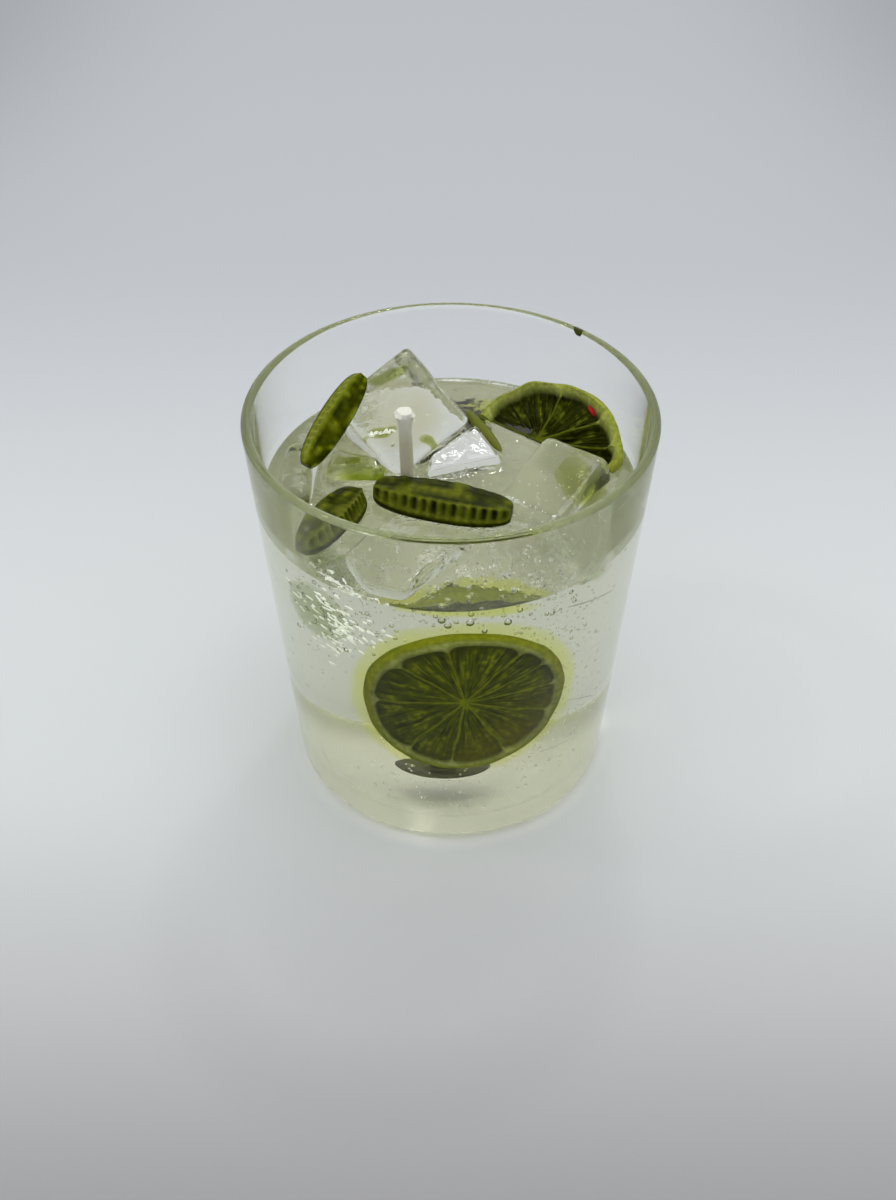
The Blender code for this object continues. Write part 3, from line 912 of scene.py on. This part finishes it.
# %% Seams
# Radius and points of each thread, in millimetres
SEAMS = (
    (0.20, (-9.8, -34.0, 69.6), (-7.6, -29.9, 69.8), (-3.1, -25.0, 69.9), (2.8, -21.7, 70.0)),
    (0.26, (3.8, -18.5, 69.9), (7.6, -20.4, 69.9), (10.0, -27.2, 69.8)),
    (0.24, (11.5, -27.8, 69.8), (13.2, -23.8, 69.9), (10.3, -21.0, 69.9)),
    (0.22, (-19.9, -23.2, 69.8), (-15.3, -29.3, 69.6), (-16.1, -32.4, 67.6)),
    (0.22, (-26.8, -18.4, 14.9), (-25.2, -20.4, 10.6), (-21.4, -23.8, 8.9), (-17.4, -26.9, 8.5)),
    (0.18, (11.5, -31.1, 24.5), (18.2, -28.0, 22.3), (24.6, -22.4, 20.6)),
    (0.18, (23.1, -25.0, 35.2), (26.2, -21.6, 32.8), (28.5, -17.9, 29.7)),
    (0.30, (21.6, -28.6, 64.6), (26.2, -24.4, 62.4), (30.4, -18.5, 60.3)),
)


def make_seams():
    curve = bpy.data.curves.new("seams", "CURVE")
    curve.dimensions = "3D"
    curve.bevel_depth = 1.0
    curve.bevel_resolution = 2
    curve.use_fill_caps = True
    for radius, *points in SEAMS:
        spline = curve.splines.new("NURBS")
        spline.points.add(len(points) - 1)
        spline.order_u, spline.use_endpoint_u, spline.resolution_u = 3, True, 16
        for i, (made, place) in enumerate(zip(spline.points, points)):
            made.co = (*(Vector(place) * MM), 1.0)
            made.radius = radius * MM * (0.35 if i in (0, len(points) - 1) else 1.0)
    drawn = bpy.data.objects.new("seams", curve)
    bm = bmesh.new()
    bm.from_mesh(drawn.to_mesh())
    drawn.to_mesh_clear()
    bpy.data.objects.remove(drawn)
    return finished("air_seams", bm, bubble_material, sharp=180)


part(make_seams(), "gel")

# %% [markdown]
# ## Dye in the gel
# Dye has bled out of the wax into the warm gel: a yellow-green halo round the sunk wheel, greener
# clouds beside the slices at the top, and dark streaks in the tall cube. Grey clouds in the
# slices' shade are painted shade, made the same way. Each is a soft ellipsoid that only drinks
# light, so that it fades out where it gets thin.

# %% Dye
# What each dye absorbs of red, green and blue in a metre, with the centre, radii and turns of
# each of its clouds in millimetres and degrees
DYES = {
    "pale_dye": ((12.0, 8.0, 150.0), (((2.2, -27.0, 40.8), (22.4, 4.8, 21.4), (-4.5, 0, 6)),)),
    "cube_dye": ((32.0, 40.0, 85.0), (((-10.6, 16.1, 77.2), (9.0, 8.0, 2.4), (38, 0, 12)),)),
    "green_dye": ((24.0, 14.0, 300.0), (
        ((8.0, 28.5, 68.6), (8.0, 4.6, 2.0), (0, 0, 0)),
        ((3.0, -33.6, 68.8), (14.0, 1.9, 1.1), (0, 0, 0)),
    )),
    "dark_dye": ((75.0, 60.0, 260.0), (
        ((27.5, 2.0, 68.0), (4.5, 8.0, 2.4), (0, 0, 20)),
        ((-19.0, 8.0, 68.7), (7.5, 4.2, 1.6), (0, 0, 15)),
    )),
    # Painted shade: grey clouds that darken the gel
    "grey_painted_shade": ((62.0, 52.0, 90.0), (
        ((-24.0, -21.5, 58.5), (7.5, 4.0, 7.0), (0, 0, -42)),
        ((22.5, -19.0, 67.3), (5.5, 4.5, 1.8), (0, 0, 0)),
    )),
    "deep_dye": ((330.0, 280.0, 850.0), (
        ((-14.4, 12.0, 75.8), (3.0, 1.2, 1.2), (0, -3, 19)),
        ((-13.2, 20.7, 84.4), (5.0, 1.5, 1.2), (0, -10, 25)),
        ((-4.9, 11.0, 74.2), (2.0, 1.4, 1.2), (0, 0, 0)),
        ((-18.0, 6.3, 69.8), (6.0, 3.6, 0.7), (0, 0, 15)),
    )),
}


def dye_material(name, absorbed):
    """A boundary that light passes straight, round gel that absorbs so much of each colour."""
    made, value = bare_material(name, "ShaderNodeBsdfTransparent", {"Color": WHITE})
    density = max(absorbed) * 1.05
    absorb(value, [1 - amount / density for amount in absorbed], density)
    return made


for name, (absorbed, clouds) in DYES.items():
    dye = dye_material(name.replace("_", " "), absorbed)
    part(ellipsoids(name, clouds, dye, lumpy=1.0), "gel")

# %% [markdown]
# ## Trapped air under the small cube
# A thin film of air lies under the tilted top of the small cube and mirrors the ceiling, which
# makes that facet the brightest place in the glass. Its mirror is painted: a thin pale plate just
# under the facet, a painted reflection.

# %% Air film
# Painted reflection: a pale plate stands for what the film of air mirrors
painted_reflection_material = new_material("painted reflection of trapped air", Base_Color=srgb(214, 216, 215), Roughness=0.5)[0]
# Corners and thickness of the film
FILM = ((-4.2, 3.4, 72.6), (9.6, 7.6, 73.1), (5.2, 14.6, 75.2), (-3.6, 6.9, 74.0))
FILM_THICK = 0.1


def make_reflection_plate():
    bm = bmesh.new()
    face = bm.faces.new([bm.verts.new(Vector(p) * MM) for p in FILM])
    pulled = bmesh.ops.extrude_face_region(bm, geom=[face])
    moved = [v for v in pulled["geom"] if isinstance(v, bmesh.types.BMVert)]
    bmesh.ops.translate(bm, verts=moved, vec=Vector((0, 0, -FILM_THICK)) * MM)
    return finished("painted_reflection_plate", bm, painted_reflection_material, sharp=30)


part(make_reflection_plate(), "ice")

# %% [markdown]
# ## Stage
# A plain pale floor with painted light: its colour fades away from the middle as it would under a
# soft lamp, darker out at the back on either side, and it is painted a little lighter under the
# glass, which gathers light there.

# %% Stage
# The floor's size and how far it lies below the foot; radii of the painted light patch and its edge
FLOOR_SIZE, FLOOR_GAP = 2.0, 0.0002
PATCH, PATCH_EDGE = 0.0325, 0.0385


def make_floor():
    bm = bmesh.new()
    bmesh.ops.create_grid(bm, x_segments=1, y_segments=1, size=FLOOR_SIZE)
    bmesh.ops.translate(bm, verts=bm.verts, vec=(0, 0, -FLOOR_GAP))
    made, shader, value = new_material("pale floor", Roughness=0.8, Specular_IOR_Level=0.2)
    x, y = value.place().xyz()[:2]
    # Painted light: the colour darkens towards the front and the back, as it would away from a lamp
    front = y.between(-0.135, -0.07).mix(srgb(144, 144, 145), srgb(171, 172, 173))
    middle = y.between(-0.095, -0.008).mix(front, srgb(195, 199, 200))
    back = y.between(0.02, 0.24).mix(middle, srgb(173, 176, 180))
    # Painted shade: darker out towards the back on either side
    to_corner = (x * x * y.between(0.0, 0.45)).between(0.004, 0.05)
    corners = to_corner.mix(back, srgb(152, 155, 159))
    # Painted light: lighter where the glass gathers light onto the floor
    painted_glow_under_glass = (x * x + y * y).between(PATCH_EDGE**2, PATCH**2)
    feed(shader, "Base Color", painted_glow_under_glass.mix(corners, srgb(222, 224, 223)))
    floor = finished("floor", bm, made)


make_floor()
print("floor:", round(FLOOR_GAP / MM, 2), "mm below the foot")

# %% [markdown]
# ## Sky and lamps
# The sky is soft and even, brightest overhead and dimmer at the horizon, which gives the clear
# edges their dark lines. A softbox overhead and two small lamps add the glints.

# %% Sky and lamps
world = bpy.data.worlds.new("studio")
bpy.context.scene.world = world
world.use_nodes = True
sky = Value(world.node_tree)
height = sky.node("ShaderNodeTexCoord", output=0).xyz()[2]
background = world.node_tree.nodes["Background"]
overhead = height.between(-0.05, 0.75)
feed(background, "Color", overhead.mix((0.60, 0.61, 0.63, 1), (1.0, 1.0, 1.01, 1)))
background.inputs["Strength"].default_value = 1.10


def softbox(name, place, target, size, power):
    data = bpy.data.lights.new(name, "AREA")
    data.shape, data.size, data.size_y, data.energy = "RECTANGLE", size[0], size[1], power
    light = bpy.data.objects.new(name, data)
    light.location = place
    light.rotation_euler = (Vector(target) - Vector(place)).to_track_quat("-Z", "Y").to_euler()
    bpy.context.scene.collection.objects.link(light)
    print(f"{name}: {power} W")


softbox("softbox overhead", (0.06, 0.06, 0.75), (0, 0.0, 0.05), (0.34, 0.26), 0.8)
softbox("lamp behind", (0.06, 0.27, 0.52), (0, 0.0, 0.07), (0.05, 0.04), 0.22)
softbox("lamp at the left", (-0.30, -0.02, 0.50), (0, 0.0, 0.07), (0.05, 0.04), 0.18)

# %% [markdown]
# ## Camera
# It looks down from the front, and was fitted to the rim, the foot and the gel's front line in
# the photograph.

# %% Camera
camera_data = bpy.data.cameras.new("camera")
camera_data.lens = 48.0
camera_data.sensor_width = 36.0
camera_data.clip_start = 0.01
camera = bpy.data.objects.new("camera", camera_data)
camera.location = (-0.000565, -0.266255, 0.272079)
camera.rotation_euler = (math.radians(48.881), 0, 0)
bpy.context.scene.collection.objects.link(camera)
bpy.context.scene.camera = camera
bpy.context.scene.view_settings.view_transform = "Standard"
print("camera:", camera_data.lens, "mm lens,", tuple(round(c, 3) for c in camera.location))

# %% [markdown]
# ## Light paths
# A ray that looks through the glass crosses many clear surfaces before it reaches the sky again,
# so it is followed for longer than usual. Light on the floor under the candle has come through it
# too, so reflections are not blurred after the first bounce.

# %% Light paths
bpy.context.scene.cycles.blur_glossy = 0.0
bpy.context.scene.cycles.max_bounces = 26
bpy.context.scene.cycles.glossy_bounces = 24
bpy.context.scene.cycles.transmission_bounces = 24
bpy.context.scene.cycles.transparent_max_bounces = 24
print("light paths: up to", bpy.context.scene.cycles.max_bounces, "bounces")
